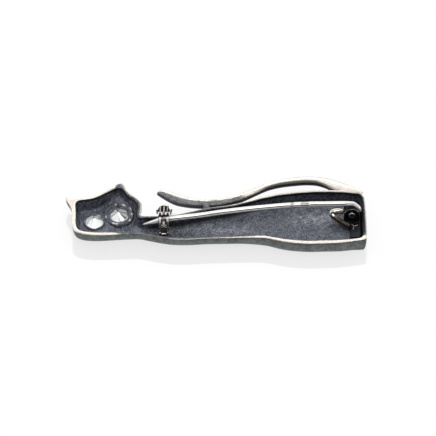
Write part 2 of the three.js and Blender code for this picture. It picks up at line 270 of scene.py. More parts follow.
def sweep(name, path, radii, sides=20, cap=True, squash=None):
    """A round bar along 3-D points, with a radius at each one; squash gives (across, up) factors."""
    path = np.array(path, float)
    n = len(path)
    radii = np.ones(n) * radii
    t = np.gradient(path, axis=0)
    t /= np.linalg.norm(t, axis=1)[:, None]
    ref = np.array([0.0, 0.0, 1.0]) if abs(t[0][2]) < 0.9 else np.array([0.0, 1.0, 0.0])
    u = ref - t[0] * ref.dot(t[0])
    u /= np.linalg.norm(u)
    loops = []
    ang = np.arange(sides) * 2 * math.pi / sides
    for i in range(n):
        u = u - t[i] * u.dot(t[i])
        u /= np.linalg.norm(u)
        w = np.cross(t[i], u)
        a, b = (1, 1) if squash is None else squash[i]
        loops.append(path[i] + radii[i] * (np.cos(ang)[:, None] * u * b + np.sin(ang)[:, None] * w * a))
    B = Build()
    B.strip(loops)
    if cap:
        for k, sgn in ((0, -1), (n - 1, 1)):
            ring = loops[k]
            inner = [path[k] + (ring - path[k]) * f + t[k] * sgn * radii[k] * h for f, h in
                     ((1.0, 0.0), (0.92, 0.18), (0.7, 0.34), (0.38, 0.43))]
            B.strip(inner, flip=sgn < 0)
            tip = path[k] + t[k] * sgn * radii[k] * 0.46
            m = len(ring)
            B.add(np.concatenate([inner[-1], [tip]]), [(i, (i + 1) % m, m) for i in range(m)])
    return B.make(name)


def lathe(name, profile, centre, axis="z", sides=72, wobble=0.0, seed=0.0):
    """A closed profile of (radius, height) turned about an axis through the centre."""
    B = Build()
    loops = []
    for r, h in profile:
        t = np.arange(sides) * 2 * math.pi / sides
        rr = np.array([r + wobble * wob(math.cos(a) * 2, math.sin(a) * 2, h, 1.0, seed) for a in t])
        c, s = rr * np.cos(t), rr * np.sin(t)
        hh = np.full(sides, h)
        if axis == "z":
            p = np.stack([c, s, hh], axis=1)
        elif axis == "x":
            p = np.stack([hh, c, s], axis=1)
        else:
            p = np.stack([s, hh, c], axis=1)
        loops.append(p + np.array(centre))
    B.strip(loops + [loops[0]])
    return B.make(name)


def prism(name, outline, origin, ex, ey, depth, bevel=0.06, holes=(), segments=3):
    """A plate: a 2-D outline (with holes) in the plane ex, ey, thickened both ways along their cross product."""
    ex, ey = Vector(ex), Vector(ey)
    ez = ex.cross(ey)
    loop = np.array(outline, float)
    if ((loop * np.roll(loop[:, ::-1], -1, axis=0) * [1, -1]).sum()) < 0:
        loop = loop[::-1]
    v, f = fill(loop, [np.array(h) for h in holes], np.zeros((0, 2)))
    B = Build()
    for s in (-0.5, 0.5):
        B.add([Vector(origin) + ex * p[0] + ey * p[1] + ez * s * depth for p in v], f if s > 0 else f[:, ::-1])
    for lp in [loop, *[np.array(h) for h in holes]]:
        lo = [Vector(origin) + ex * p[0] + ey * p[1] - ez * depth / 2 for p in lp]
        hi = [Vector(origin) + ex * p[0] + ey * p[1] + ez * depth / 2 for p in lp]
        B.strip([np.array([tuple(p) for p in lo]), np.array([tuple(p) for p in hi])])
    ob = B.make(name)
    bm = bmesh.new()
    bm.from_mesh(ob.data)
    bmesh.ops.dissolve_limit(bm, angle_limit=0.01, verts=bm.verts, edges=bm.edges)
    bm.to_mesh(ob.data)
    bm.free()
    if bevel:
        m = ob.modifiers.new("bevel", "BEVEL")
        m.width, m.segments, m.limit_method, m.angle_limit = bevel * MM, segments, "ANGLE", math.radians(35)
        m.harden_normals = True
    return ob


def apply_modifiers(ob):
    dg = bpy.context.evaluated_depsgraph_get()
    me = bpy.data.meshes.new_from_object(ob.evaluated_get(dg))
    ob.modifiers.clear()
    ob.data = me
    return ob


# ------------------------------------------------------------------ materials
def node(tree, kind, **inputs):
    n = tree.nodes.new(kind)
    for k, v in inputs.items():
        key = k.replace("_", " ")
        if key in n.inputs:
            n.inputs[key].default_value = v
        else:
            setattr(n, k, v)
    return n


def math_node(tree, op, a, b=None, clamp=False):
    n = tree.nodes.new("ShaderNodeMath")
    n.operation, n.use_clamp = op, clamp
    for i, x in enumerate((a, b)):
        if x is None:
            continue
        if isinstance(x, (int, float)):
            n.inputs[i].default_value = x
        else:
            tree.links.new(x, n.inputs[i])
    return n.outputs[0]


def mix_colour(tree, fac, a, b):
    n = tree.nodes.new("ShaderNodeMix")
    n.data_type = "RGBA"
    if isinstance(fac, (int, float)):
        n.inputs[0].default_value = fac
    else:
        tree.links.new(fac, n.inputs[0])
    for i, x in ((6, a), (7, b)):
        if isinstance(x, tuple):
            n.inputs[i].default_value = (*x, 1.0)
        else:
            tree.links.new(x, n.inputs[i])
    return n.outputs[2]


def noise_node(tree, coord, scale_mm, detail=3.0, rough=0.55, stretch=None):
    """A noise whose features are about scale_mm across."""
    mp = tree.nodes.new("ShaderNodeMapping")
    s = 1000.0 / scale_mm
    mp.inputs["Scale"].default_value = (s, s, s) if stretch is None else tuple(s * k for k in stretch)
    tree.links.new(coord, mp.inputs["Vector"])
    n = tree.nodes.new("ShaderNodeTexNoise")
    n.inputs["Scale"].default_value = 1.0
    n.inputs["Detail"].default_value = detail
    n.inputs["Roughness"].default_value = rough
    tree.links.new(mp.outputs[0], n.inputs["Vector"])
    return n.outputs["Fac"]


def ramp(tree, x, a, b):
    n = tree.nodes.new("ShaderNodeMapRange")
    n.interpolation_type = "SMOOTHSTEP"
    n.inputs["From Min"].default_value = a
    n.inputs["From Max"].default_value = b
    tree.links.new(x, n.inputs["Value"])
    return n.outputs[0]


def silver(name, dark, tone, bright, rough_dark=0.5, rough_bright=0.22, grain=1.0, bump=1.0, attr=True, polish_and_highlight=0.5,
           metallic=0.35, metallic_bright=0.95, stretch=None, size=0.36):
    """Oxidised silver: a dull patina with a fine grain, bright where an attribute marks buffed rims and edges and the
    painted highlights; other attributes add a greenish outer tone, a painted sheen and painted shade.
    """
    m = bpy.data.materials.new(name)
    m.use_nodes = True
    t = m.node_tree
    bsdf = t.nodes["Principled BSDF"]
    coord = t.nodes.new("ShaderNodeTexCoord").outputs["Object"]
    broad = noise_node(t, coord, 2.4, 3.0, 0.55)
    mid = noise_node(t, coord, size * 2.6, 4.0, 0.6)
    fine = noise_node(t, coord, size, 5.0, 0.7, stretch)
    speck = noise_node(t, coord, size * 0.42, 2.0, 0.5)
    if attr:
        a = t.nodes.new("ShaderNodeAttribute")
        a.attribute_name = "polish_and_highlight"
        pol = a.outputs["Fac"]
    else:
        v = t.nodes.new("ShaderNodeValue")
        v.outputs[0].default_value = polish_and_highlight
        pol = v.outputs[0]
    # the edge of the buffed and painted-highlight areas is ragged at the scale of the casting's grain
    rag = math_node(t, "MULTIPLY", math_node(t, "SUBTRACT", fine, 0.5), 0.7)
    mask = ramp(t, math_node(t, "ADD", pol, rag), 0.30, 0.66)
    lump = math_node(t, "ADD", math_node(t, "MULTIPLY", fine, 0.42), math_node(t, "MULTIPLY", broad, 0.22))
    lump = math_node(t, "ADD", lump, math_node(t, "MULTIPLY", mid, 0.36))
    base = mix_colour(t, ramp(t, lump, 0.40, 0.60), dark, tone)
    glint = ramp(t, speck, 0.54, 0.68)
    base = mix_colour(t, math_node(t, "MULTIPLY", glint, 0.5 * grain), base, tuple(min(1, c * 2.4 + 0.05) for c in tone))
    pits = ramp(t, speck, 0.45, 0.28)
    base = mix_colour(t, math_node(t, "MULTIPLY", pits, 0.6 * grain), base, tuple(c * 0.35 for c in dark))
    # the bright buffed colour, used also for the painted highlights
    worn_and_highlight_colour = mix_colour(t, ramp(t, broad, 0.3, 0.75), bright, tuple(c * 0.88 for c in bright))
    if attr:
        a = t.nodes.new("ShaderNodeAttribute")
        a.attribute_name = "verdigris"
        base = mix_colour(t, a.outputs["Fac"], base, mix_colour(t, ramp(t, lump, 0.40, 0.60), (0.05, 0.058, 0.057), (0.15, 0.168, 0.162)))
        # painted sheen: lighter patches on the floor of the hollow, from an attribute
        a = t.nodes.new("ShaderNodeAttribute")
        a.attribute_name = "painted_sheen"
        painted_sheen_spots = math_node(t, "MULTIPLY", a.outputs["Fac"], math_node(t, "ADD", 0.12, math_node(t, "MULTIPLY", ramp(t, fine, 0.44, 0.6), 0.88)))
        base = mix_colour(t, painted_sheen_spots, base, (0.47, 0.49, 0.54))
        # painted shade, and the darker patina of the hollows, from an attribute: pulls the colour towards near black
        # and dims the bright mask
        a = t.nodes.new("ShaderNodeAttribute")
        a.attribute_name = "shade_and_patina"
        base = mix_colour(t, math_node(t, "MULTIPLY", a.outputs["Fac"], 0.94), base, tuple(c * 0.06 for c in dark))
        mask = math_node(t, "MULTIPLY", mask, math_node(t, "SUBTRACT", 1.0, math_node(t, "MULTIPLY", a.outputs["Fac"], 0.92)), clamp=True)
    col = mix_colour(t, mask, base, worn_and_highlight_colour)
    t.links.new(col, bsdf.inputs["Base Color"])
    t.links.new(math_node(t, "ADD", math_node(t, "MULTIPLY", mask, metallic_bright - metallic), metallic), bsdf.inputs["Metallic"])
    r = math_node(t, "ADD", math_node(t, "MULTIPLY", mask, rough_bright - rough_dark), rough_dark)
    r = math_node(t, "ADD", r, math_node(t, "MULTIPLY", math_node(t, "SUBTRACT", fine, 0.5), 0.22), clamp=True)
    t.links.new(r, bsdf.inputs["Roughness"])
    b = t.nodes.new("ShaderNodeBump")
    b.inputs["Distance"].default_value = 0.06 * MM
    b.inputs["Strength"].default_value = min(1.0, 0.8 * bump)
    h = math_node(t, "ADD", math_node(t, "MULTIPLY", fine, 0.9), math_node(t, "MULTIPLY", speck, 0.35))
    h = math_node(t, "MULTIPLY", h, math_node(t, "SUBTRACT", 1.0, math_node(t, "MULTIPLY", mask, 0.8)))
    t.links.new(h, b.inputs["Height"])
    t.links.new(b.outputs[0], bsdf.inputs["Normal"])
    return m


CAST = silver("cast_silver", (0.022, 0.026, 0.037), (0.15, 0.16, 0.196), (0.9, 0.83, 0.75), 0.44, 0.25, grain=1.9)
TAIL_MAT = silver("tail_silver", (0.075, 0.076, 0.082), (0.235, 0.236, 0.245), (0.9, 0.83, 0.75), 0.42, 0.22, grain=1.0)
DARKS = silver("dark_findings", (0.010, 0.010, 0.013), (0.026, 0.026, 0.033), (0.8, 0.77, 0.73), 0.32, 0.2, grain=0.2,
               metallic=0.6)
BRIGHT = silver("bright_findings", (0.018, 0.018, 0.02), (0.09, 0.087, 0.088), (0.9, 0.85, 0.83), 0.32, 0.16, grain=0.3,
                metallic=0.75)
BAND = silver("catch_bands", (0.02, 0.02, 0.022), (0.16, 0.155, 0.155), (0.93, 0.88, 0.86), 0.5, 0.42, grain=0.4,
              metallic=0.3, metallic_bright=0.4)
FINDING = silver("worn_finding", (0.05, 0.035, 0.028), (0.16, 0.125, 0.105), (0.9, 0.85, 0.79), 0.36, 0.2, grain=0.3, metallic=0.7)
WIRE = silver("pin_wire", (0.12, 0.115, 0.105), (0.34, 0.33, 0.31), (0.97, 0.95, 0.92), 0.26, 0.05, grain=0.15, bump=0.12,
              metallic=0.9, metallic_bright=0.45, stretch=(0.12, 1.0, 1.0))


def crystal_material():
    """Foiled glass with painted light: an attribute gives each face a painted brightness, and the bright faces also
    glow a little.
    """
    m = bpy.data.materials.new("crystal")
    m.use_nodes = True
    t = m.node_tree
    b = t.nodes["Principled BSDF"]
    coord = t.nodes.new("ShaderNodeTexCoord").outputs["Object"]
    dust = noise_node(t, coord, 0.5, 3.0, 0.6)
    a = t.nodes.new("ShaderNodeAttribute")
    a.attribute_name = "painted_facet_light"
    # painted reflections: each face's brightness, from dark to near white, stands in for the light the stone sends back
    tone = mix_colour(t, a.outputs["Fac"], (0.10, 0.095, 0.085), (0.99, 0.99, 1.0))
    t.links.new(mix_colour(t, math_node(t, "MULTIPLY", ramp(t, dust, 0.45, 0.8), 0.18), tone, (0.62, 0.63, 0.65)), b.inputs["Base Color"])
    b.inputs["Metallic"].default_value = 0.35                # the foil on the back
    b.inputs["Transmission Weight"].default_value = 0.12
    b.inputs["IOR"].default_value = 2.1
    b.inputs["Coat Weight"].default_value = 0.45
    b.inputs["Coat IOR"].default_value = 1.6
    # a faint painted glow on the bright faces
    b.inputs["Emission Color"].default_value = (0.95, 0.96, 1.0, 1.0)
    t.links.new(math_node(t, "MULTIPLY", a.outputs["Fac"], 0.2), b.inputs["Emission Strength"])
    t.links.new(math_node(t, "MULTIPLY", ramp(t, dust, 0.5, 0.9), 0.06), b.inputs["Roughness"])
    return m


GLASS = crystal_material()


def dress(ob, body, mat, slot, *nodes):
    ob.data.materials.clear()
    ob.data.materials.append(mat)
    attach(ob, body)
    if nodes:
        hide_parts(*nodes)
    return ob


# ------------------------------------------------------------------ the casting: outlines
OUTLINE = [
    (-22.07, -7.11), (-19.6, -6.97), (-17.1, -6.85), (-15.2, -6.85), (-13.6, -7.25), (-11.3, -7.87), (-8.75, -8.32),
    (-5.57, -8.4), (-2.19, -8.14), (1.19, -8.01), (6.56, -7.83), (9.88, -7.98), (11.65, -8.43), (14.12, -9.08),
    (17.99, -9.5), (21.27, -9.4), (24.65, -9.2), (27.6, -8.7), (29.1, -8.4), (29.62, -8.2), (29.86, -7.8),
    (29.92, -6.8), (29.92, -4.65), (29.82, -1.0), (29.64, 2.1), (29.42, 3.9), (29.1, 4.6), (28.4, 4.95), (27.2, 5.25),
    (25.85, 5.42), (22.66, 5.53), (19.28, 5.5), (16.7, 5.25), (14.12, 4.9), (10.34, 4.0), (5.57, 2.2), (2.78, 1.31),
    (-1.79, 0.45), (-5.17, -0.6), (-7.95, -1.4), (-11.2, -1.72), (-14.2, -1.76), (-14.85, -1.6), (-15.0, -1.1),
    (-14.76, 0.3), (-14.82, 1.96), (-15.67, 3.22), (-17.2, 4.71), (-17.95, 6.0), (-18.35, 6.85), (-18.75, 7.35),
    (-19.3, 7.3), (-20.48, 6.62), (-22.27, 5.19), (-23.86, 4.07), (-25.4, 3.45), (-27.1, 3.35), (-28.1, 3.72),
    (-28.9, 4.15), (-29.5, 4.2), (-29.88, 3.75), (-29.8, 2.85), (-29.25, 1.7), (-28.72, 0.1), (-28.58, -2.23),
    (-28.5, -4.6), (-28.1, -5.85), (-26.84, -6.65), (-24.6, -7.1)]
POCKET = [
    (-22.1, -6.3), (-19.7, -6.2), (-17.1, -6.12), (-15.2, -6.1), (-13.6, -6.5), (-11.3, -7.1), (-8.75, -7.56),
    (-5.57, -7.62), (-2.19, -7.38), (1.19, -7.27), (6.56, -7.07), (9.88, -7.22), (11.65, -7.62), (14.12, -8.2),
    (17.99, -8.62), (21.27, -8.54), (24.65, -8.38), (27.6, -8.0), (28.75, -7.75), (29.2, -7.2), (29.36, -6.4),
    (29.38, -4.65), (29.3, -1.0), (29.12, 2.1), (28.85, 3.5), (28.3, 4.15), (27.0, 4.5), (25.85, 4.66), (22.66, 4.8),
    (19.28, 4.78), (16.7, 4.52), (14.12, 4.18), (10.34, 3.3), (5.57, 1.46), (2.78, 0.58), (-1.79, -0.3),
    (-5.17, -1.32), (-7.95, -2.12), (-11.2, -2.46), (-14.2, -2.5), (-15.3, -2.3), (-15.62, -1.5), (-15.45, 0.0),
    (-15.55, 1.5), (-16.3, 2.75), (-17.55, 3.95), (-18.25, 5.2), (-18.7, 5.9), (-19.35, 6.12), (-20.3, 5.75),
    (-21.7, 4.92), (-23.6, 3.6), (-25.3, 2.95), (-27.0, 2.68), (-27.7, 2.25), (-27.92, 1.4), (-27.85, -1.5),
    (-27.78, -4.4), (-27.35, -5.4), (-26.4, -5.95), (-24.4, -6.3)]

P = crom(OUTLINE, 560, closed=True)
far_side = [k for k, (x, y) in enumerate(POCKET) if x > -15 and y > -2.6]
near_side = [k for k, (x, y) in enumerate(POCKET) if -24 < x < 28 and y < -5.9]
POCKET = [(x, y + (0.2 if k in far_side else 0) - (0.2 if k in near_side and -20 < x < 9 else 0.06 if k in near_side else 0))
          for k, (x, y) in enumerate(POCKET)]
Q = crom(POCKET, 520, closed=True)
Q = Q + np.array([[0.05 * wob(x, y, 0, 0.5, 3), 0.05 * wob(x, y, 0, 0.5, 4)] for x, y in Q])


def front_round(x):
    """How far in the front's edge rounds, along the body."""
    return np.interp(x, [-30, -24, -16, -9, 0, 5, 9, 12.5, 17, 22, 27, 30], [2.3, 2.8, 3.5, 3.3, 3.1, 2.8, 2.0, 1.5, 1.5, 1.4, 1.15, 0.6])


def front_z(d, x, top=3.42):
    r = front_round(x)
    u = np.clip(1 - d / r, 0, 1)
    return top * (1 - np.sqrt(np.clip(1 - u * u, 0, 1)))


def floor_z(x, y, d):
    """Inside of the front: a fillet to the wall, a shallow trough, cast ripples and the seat round the inner eye."""
    r = np.interp(x, [-30, -18, -14, -8, 10, 17, 27, 30], [1.15, 1.15, 0.9, 1.0, 1.2, 1.0, 0.8, 0.7])
    u = np.clip(1 - d / r, 0, 1)
    z = FLOOR + (3.42 - FLOOR) * (1 - np.sqrt(np.clip(1 - u * u, 0, 1)))
    neck = np.exp(-((x + 15.5) / 2.2) ** 2)
    w = np.array([0.05 * wob(a, b, 0, 0.35, 1) + 0.04 * wob(a, b, 0, 1.1, 2) + 0.03 * wob(a, b, 0, 2.6, 5) for a, b in zip(x, y)])
    z = z + w * ss(d, 0.1, 0.6) * (1 + 1.8 * neck) + 0.16 * np.exp(-((d - 0.9) / 1.2) ** 2) * ss(x, -14, -8) * (1 - ss(x, 24, 27)) * ss(d, 0.3, 0.9)
    e = np.hypot(x - EYE_R[0], y - EYE_R[1])
    z = z + 0.3 * np.exp(-((e - 3.0) / 0.35) ** 2) * ss(d, 0.0, 0.5)
    # the floor climbs into the inner ear, and a blob of solder lies in the neck
    z = z + 1.35 * ss(y, 2.6, 6.0) * np.exp(-((x + 19.3) / 1.5) ** 2) * ss(d, 0.05, 0.8)
    z = z + 0.28 * np.exp(-((x + 15.3) ** 2 + (y + 2.9) ** 2) / 0.7) * ss(d, 0.0, 0.4)
    # a low step across the neck, under the head
    s = x + 16.1 - 0.25 * (y + 4)
    z = z + 0.22 * np.exp(-(s / 0.55) ** 2) * (y < -2.2) * ss(d, 0.0, 0.4)
    return z


holes = [circle(EYE_L, STONE_R + 0.07, 56), circle(EYE_R, STONE_R + 0.07, 56)]
B = Build()
# outer wall
ds = [0.0, 0.012, 0.04, 0.09, 0.16, 0.26]
outer = [z3(inset(P, 0.14), RIM), z3(inset(P, 0.07), RIM - 0.015), z3(inset(P, 0.025), RIM - 0.06), z3(inset(P, 0.004), RIM - 0.12)]
outer += [np.concatenate([inset(P, d), front_z(d, inset(P, d)[:, 0])[:, None]], axis=1) for d in ds]
B.strip(outer)
# front
edge = outer[-1][:, :2]
pts = np.concatenate([rings(P, [0.38, 0.52, 0.7, 0.9, 1.15, 1.45, 1.8, 2.2], holes), grid(P, 0.5, 2.4, holes)])
pts = pts[inside(pts, edge)]
v, f = fill(edge, holes, pts)
holes_low = [np.concatenate([h, front_z(distance(h, P), h[:, 0])[:, None]], axis=1) for h in holes]
B.add(snap(v, front_z(distance(v, P), v[:, 0]), np.concatenate([outer[-1], *holes_low])), f[:, ::-1])
# rim
rim_in = inset(Q, -0.1)
v, f = fill(inset(P, 0.14), [rim_in], np.zeros((0, 2)))
B.add(snap(v, np.full(len(v), RIM), np.concatenate([outer[0], z3(rim_in, RIM)])), f)
# inner wall
inner = [z3(rim_in, RIM), z3(inset(Q, -0.04), RIM - 0.03), z3(inset(Q, -0.005), RIM - 0.1)]
for d in (0.0, 0.012, 0.04, 0.09, 0.16):
    q = inset(Q, d)
    inner.append(np.concatenate([q, floor_z(q[:, 0], q[:, 1], np.full(len(q), d))[:, None]], axis=1))
B.strip(inner)
# floor
edge = inner[-1][:, :2]
pts = np.concatenate([rings(Q, [0.25, 0.36, 0.5, 0.66, 0.85, 1.1, 1.4], holes), grid(Q, 0.3, 1.5, holes)])
ring_pts = np.concatenate([circle(EYE_R, r, 72) for r in (2.0, 2.3, 2.6, 2.85, 3.05, 3.25, 3.5, 3.8)] +
                          [circle(EYE_L, r, 60) for r in (2.0, 2.25)])
far_from_rings = (np.abs(np.hypot(pts[:, 0] - EYE_R[0], pts[:, 1] - EYE_R[1]) - 2.9) > 1.0) & \
                 (np.hypot(pts[:, 0] - EYE_L[0], pts[:, 1] - EYE_L[1]) > 2.4)
pts = pts[far_from_rings | (distance(pts, Q) < 0.6)]
ring_pts = ring_pts[inside(ring_pts, edge)]
ring_pts = ring_pts[(distance(ring_pts, Q) > 0.7)]
keep = np.hypot(ring_pts[:, 0] - EYE_L[0], ring_pts[:, 1] - EYE_L[1]) > STONE_R + 0.15
keep &= np.hypot(ring_pts[:, 0] - EYE_R[0], ring_pts[:, 1] - EYE_R[1]) > STONE_R + 0.15
pts = np.concatenate([pts, ring_pts[keep]])
pts = pts[inside(pts, edge)]
v, f = fill(edge, holes, pts)
holes_top = [np.concatenate([h, floor_z(h[:, 0], h[:, 1], distance(h, Q))[:, None]], axis=1) for h in holes]
B.add(snap(v, floor_z(v[:, 0], v[:, 1], distance(v, Q)), np.concatenate([inner[-1], *holes_top])), f)
# walls of the eye holes
for a, b in zip(holes_top, holes_low):
    B.strip([a, b])

shell = B.make("shell_casting", merge=2e-4)


def shell_polish_and_reflection(co, no):
    x, y, z = co.T
    dp = distance(co[:, :2], P)
    edge = 1 - ss(dp, 0.16, 0.34)                            # 1 along the outer side of the rim, 0 along the pocket
    top = ss(z, RIM - 0.2, RIM - 0.05)                       # the buffed rim
    near = y < np.interp(x, [-30, -15, 0, 30], [-4.5, -4.5, -3.5, -3.0])
    k_near = np.interp(x, [-30, -22, -20.6, -18.8, -9.6, -8.2, -2, 6, 12, 27, 30],
                       [1.0, 1.0, 0.95, 0.36, 0.3, 0.46, 0.42, 0.62, 1.0, 1.0, 0.95])
    k_far = np.interp(x, [-30, -27, -22, -20.4, -19.6, -17.8, -15.2, -14.5, -6, 0, 5, 11, 26.5, 28, 29.2, 30],
                      [1.0, 1.0, 0.95, 0.8, 0.3, 0.62, 0.55, 0.5, 0.42, 0.48, 0.7, 0.95, 1.0, 0.9, 0.6, 0.5])
    w_near = np.interp(x, [-28, -22, -19, -8, 6, 11, 30], [1.0, 0.75, 0.3, 0.3, 0.35, 1.0, 1.0])
    w_far = np.interp(x, [-28, -25, -20, -15, 5, 12, 27, 30], [1.0, 0.7, 0.5, 0.1, 0.3, 0.7, 0.8, 0.3])
    k, w = np.where(near, k_near, k_far), np.where(near, w_near, w_far)
    end = (x > 28.9) & (y > -7.3) & (y < 3.6)
    k, w = np.where(end, 0.5, k), np.where(end, 0.0, w)
    out = 0.04 + 0.96 * top * k * (edge + (1 - edge) * w)
    # painted reflection of the pale floor: below the rim, the faces that turn down are lighter
    under = ss(-no[:, 2], 0.2, 0.9)
    return np.where(z < RIM - 0.25, 0.04 + 0.3 * under, out)


set_attr(shell, "polish_and_highlight", shell_polish_and_reflection)
def shell_painted_shade(co, no):
    """Painted shade: deep black just under the far and end rims, the far walls a little darker, darker floor at the
    foot of the walls and in the corners, and a thin dark line under the outer near rim; the outer wall is also darker
    towards the bottom.
    """
    x, y, z = co.T
    dq = distance(co[:, :2], Q)
    wall = (dq < 0.17) & (z < RIM - 0.12)
    facing = ss(-no[:, 1], 0.2, 0.8) + 0.9 * ss(np.abs(no[:, 0]), 0.4, 0.9)
    high = ss(z, 2.75, 3.2)
    foot = 0.4 * np.exp(-((dq - 0.5) / 0.35) ** 2) * (z < 2.6) * (z > 0.8) * (y > -5.5)
    # painted shade in the corner behind the hinge, at the foot of the catch and in the pocket beside the inner eye
    foot = foot + 0.75 * ss(x, 27.4, 28.6) * (y > -6.6) + 0.8 * np.exp(-((x + 9.2) / 0.55) ** 2) * ss(-y, 4.2, 5.4) * (z < 2.4)
    foot = foot + 0.42 * (1 - ss(dq, 0.6, 1.3)) * (y > np.interp(x, [-15, 0, 30], [-4, -2, 0])) * ss(x, -15, -12)
    foot = foot + 0.6 * np.exp(-((x - EYE_R[0] - 1.6) ** 2 + (y - EYE_R[1] + 1.5) ** 2) / 0.5)
    inner = (distance(co[:, :2], P) >= dq) & (no[:, 2] > -0.5)
    lip = 0.75 * np.exp(-((z - 3.33) / 0.09) ** 2) * (~inner) * ss(x, 4, 12) * (y < -5) + 0.35 * (1 - ss(z, 0.3, 1.1)) * (~inner) * (no[:, 2] > -0.7)
    return np.where(inner, np.clip(np.where(wall, high * np.clip(facing, 0, 1) + 0.3 * (y > -2) * (x > -15), foot), 0, 1), np.clip(lip, 0, 1))


def shell_painted_sheen(co, no):
    """Painted sheen: lighter patches on the upward-facing floor of the hollow."""
    x, y, z = co.T
    patch = np.array([wob(p[0], p[1], 0.0, 0.9, 5) for p in co[:, :2]])
    glow = np.exp(-((x + 0.5) / 7.5) ** 2 - ((y + 3.0 + 0.03 * x) / 1.3) ** 2) + 0.8 * np.exp(-((x - 19.5) / 6.0) ** 2 - ((y - 0.3) / 2.0) ** 2)
    glow = glow + 0.8 * np.exp(-((x + 14.6) / 1.6) ** 2 - ((y + 4.3) / 1.3) ** 2) + 0.6 * np.exp(-((x + 17.6) / 0.7) ** 2 - ((y - 3.6) / 1.8) ** 2)
    return np.clip(0.85 * glow * np.clip(0.8 + 1.2 * patch, 0.1, 1.5), 0, 0.9) * ss(no[:, 2], 0.3, 0.8) * (z < 2.6)


def shell_outer(co, no):
    x, y, z = co.T
    return ((distance(co[:, :2], P) < distance(co[:, :2], Q)) | (no[:, 2] < -0.1)).astype(float)


set_attr(shell, "painted_sheen", shell_painted_sheen)
set_attr(shell, "shade_and_patina", shell_painted_shade)
set_attr(shell, "verdigris", shell_outer)
dress(shell, "shell", CAST, "oxidised_silver", "head_shell", "body_shell")

# ------------------------------------------------------------------ tail
TAIL_FAR = [(-11.75, 5.05), (-11.25, 5.7), (-9.4, 5.43), (-8.0, 4.78), (-6.24, 3.95), (-4.4, 3.3), (-1.79, 2.95),
            (0.74, 3.25), (2.78, 3.75), (5.33, 4.98), (7.85, 6.33), (10.34, 7.59), (12.92, 8.55), (15.5, 9.15), (17.99, 9.4),
            (20.48, 9.28), (22.66, 8.8), (25.84, 7.37), (27.53, 6.47), (28.75, 5.6), (29.2, 5.0)]
TAIL_NEAR = [(-11.75, 4.75), (-11.0, 4.2), (-9.54, 3.1), (-8.0, 2.12), (-5.17, 1.42), (-1.79, 1.22), (0.74, 1.42), (2.78, 2.02),
             (5.33, 3.05), (7.85, 4.5), (10.34, 6.0), (12.92, 6.88), (15.5, 7.32), (17.99, 7.55), (20.0, 7.38), (21.7, 6.66),
             (23.2, 5.68), (25.0, 5.15), (26.8, 4.95), (28.1, 4.75), (29.0, 4.5)]
NT = 150
far = crom(TAIL_FAR, NT)
near = crom(TAIL_NEAR, NT)
B = Build()
loops = []
for i in range(NT):
    a, b = near[i], far[i]
    w = np.linalg.norm(b - a)
    s = i / (NT - 1)
    grow = min(1.0, math.sin(min(1.0, s / 0.03) * math.pi / 2) ** 0.6 + 0.02)
    top, bot = 3.72, 2.45 + 0.15 * ss(s, 0.75, 1.0) - 0.36 * (1 - ss(s, 0.36, 0.52)) * ss(s, 0.0, 0.08)
    zc, hh = (top + bot) / 2, (top - bot) / 2 * (0.35 + 0.65 * grow)
    sec = []
    m = 28
    for k in range(m):
        t = 2 * math.pi * k / m
        c, q = math.cos(t), math.sin(t)
        e = 0.5 if q > 0 else 0.8                                     # flatter on the back, rounder in front
        cx = math.copysign(abs(c) ** e, c)
        qz = math.copysign(abs(q) ** e, q)
        p = (a + b) / 2 + (b - a) / 2 * cx * (0.5 + 0.5 * grow if s < 0.03 else 1.0)
        z = zc + hh * qz
        if q > 0:                                                      # the back is a little hollow along the left half
            z -= 0.10 * (1 - cx * cx) * (1 - float(ss(s, 0.42, 0.6)))
        sec.append((p[0], p[1], z + 0.012 * wob(p[0], p[1], z, 1.4, 8)))
    loops.append(np.array(sec))
B.strip(loops)
for ring in (loops[0], loops[-1]):
    c = ring.mean(0)
    B.add(np.concatenate([ring, [c]]), [(i, (i + 1) % len(ring), len(ring)) for i in range(len(ring))])
tail = B.make("tail_cast")


def tail_polish_and_highlight(co, no):
    x, y, z = co.T
    cen = np.interp(x, [p[0] for p in TAIL_NEAR], [p[1] for p in TAIL_NEAR])
    edge = np.interp(x, [p[0] for p in TAIL_FAR], [p[1] for p in TAIL_FAR])
    across = (y - cen) / np.maximum(0.3, edge - cen)
    # painted highlight: the faces that turn up are lighter; the buffing lies along the far edge of the left half and
    # over most of the right half
    up = ss(no[:, 2], 0.1, 0.75)
    left = 1 - ss(x, 3.0, 9.0)
    lip = np.interp(x, [-12, -10.8, -9, -5, 0, 5], [0.74, 0.66, 0.6, 0.68, 0.74, 0.66])
    far_edge = ss((across - lip) / 0.18, -0.5, 0.5)
    return up * (left * (0.18 + 0.82 * far_edge) + (1 - left) * (0.9 - 0.4 * (1 - ss(across, 0.05, 0.3)))) + 0.05


set_attr(tail, "polish_and_highlight", tail_polish_and_highlight)
def tail_painted_shade(co, no):
    # painted shade: the underside, the near side where it turns down, and a band along the near side of the right half
    x = co[:, 0]
    right = ss(x, 5.0, 11.0) * (1 - ss(x, 23.0, 25.5))
    cen = np.interp(x, [p[0] for p in TAIL_NEAR], [p[1] for p in TAIL_NEAR])
    band = (1 - ss(co[:, 1] - cen, 0.5, 0.75)) * right * (1 - 0.35 * ss(x, 20.5, 23.5))
    return np.clip(ss(-no[:, 2], -0.5, 0.05) * ss(-no[:, 1], -0.2, 0.3) + ss(-no[:, 2], 0.3, 0.8) + band, 0, 1)


set_attr(tail, "shade_and_patina", tail_painted_shade)
dress(tail, "shell", TAIL_MAT, "oxidised_silver", "tail")

